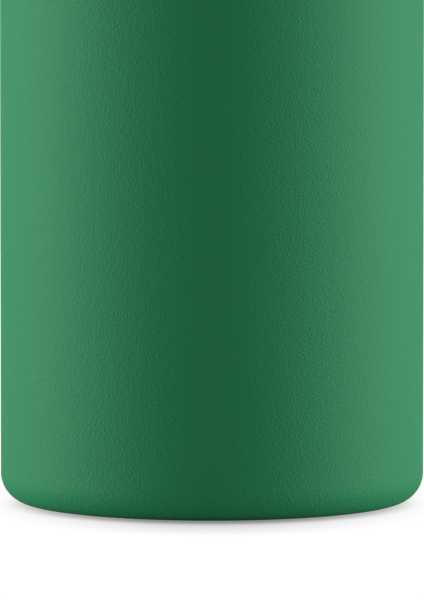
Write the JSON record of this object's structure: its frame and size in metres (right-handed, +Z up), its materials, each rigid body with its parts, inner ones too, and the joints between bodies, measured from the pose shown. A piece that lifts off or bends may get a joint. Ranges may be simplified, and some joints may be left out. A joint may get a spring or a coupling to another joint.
{
  "type": "vacuum flask",
  "caption": "Double-walled steel vacuum flask with a green powder-coated barrel, a push-button stopper and a screw-on double-walled cup.",
  "frame": {"origin": "centre of the foot ring's bottom face, on the flask's axis", "axes": "+Z up along the flask's axis; +X through the getter and through one pouring window"},
  "size_m": [0.078, 0.078, 0.285],
  "materials": {
    "green_powder_coat": "matt, fine-grained powder coat",
    "vessel_steel": "fine turned grain",
    "base_steel": "circular brushed",
    "trim_steel": "circular brushed, bright edge",
    "copper_foil": "bright, slightly creased",
    "glass_bead": "fused, smooth",
    "getter_metal": "pressed powder",
    "spring_steel": "bright wire",
    "foot_silicone": "satin",
    "seal_silicone": "satin, translucent grey",
    "dark_plastic": "fine spark-eroded grain",
    "green_plastic": "fine spark-eroded grain",
    "foam": "closed-cell foam"
  },
  "bodies": {
    "flask": {"outer_shell": "green_powder_coat", "inner_vessel": "vessel_steel", "inner_neck": "vessel_steel", "inner_bottom": "vessel_steel", "reflective_foil": "copper_foil", "vacuum_bottom": "vessel_steel", "seal_bead": "glass_bead", "getter_pellet": "getter_metal", "getter_strap": "spring_steel", "base_cover": "base_steel", "foot_ring": "foot_silicone", "trim_ring": "trim_steel", "thread_collar": "dark_plastic"},
    "stopper_seal": {"stopper_gasket": "seal_silicone"},
    "stopper": {"stopper_body": "dark_plastic", "pour_ring": "dark_plastic", "stopper_core": "dark_plastic", "insulation_ring": "foam", "core_o_ring": "seal_silicone", "stopper_deck": "dark_plastic", "stem_o_ring": "seal_silicone", "spring_washer": "spring_steel", "top_cover": "dark_plastic", "button_spring": "spring_steel"},
    "valve": {"button": "green_plastic", "valve_stem": "dark_plastic", "valve_seal": "seal_silicone"},
    "cup_seal": {"cup_gasket": "seal_silicone"},
    "cup": {"cup_shell": "green_powder_coat", "cup_liner": "vessel_steel", "cup_thread_ring": "dark_plastic"}
  },
  "joints": [
    {"name": "stopper_lift", "type": "slide", "parent": "flask", "child": "stopper_seal", "axis": [0, 0, 1], "range_m": [0, 0.06]},
    {"name": "stopper_turn", "type": "hinge", "parent": "stopper_seal", "child": "stopper", "pos_m": [0, 0, 0.24], "axis": [0, 0, 1], "range_deg": [0, 1440]},
    {"name": "button_press", "type": "slide", "parent": "stopper", "child": "valve", "axis": [0, 0, -1], "range_m": [0, 0.005], "stiffness_N_per_m": 600, "springref_m": -0.004, "deforming": ["button_spring"]},
    {"name": "cup_lift", "type": "slide", "parent": "stopper", "child": "cup_seal", "axis": [0, 0, 1], "range_m": [0, 0.06]},
    {"name": "cup_turn", "type": "hinge", "parent": "cup_seal", "child": "cup", "pos_m": [0, 0, 0.23], "axis": [0, 0, 1], "range_deg": [0, 1440]}
  ],
  "couplings": [
    {"joint": "stopper_lift", "follows": "stopper_turn", "m_per_rad": 0.0023873},
    {"joint": "cup_lift", "follows": "cup_turn", "m_per_rad": 0.0023873}
  ]
}
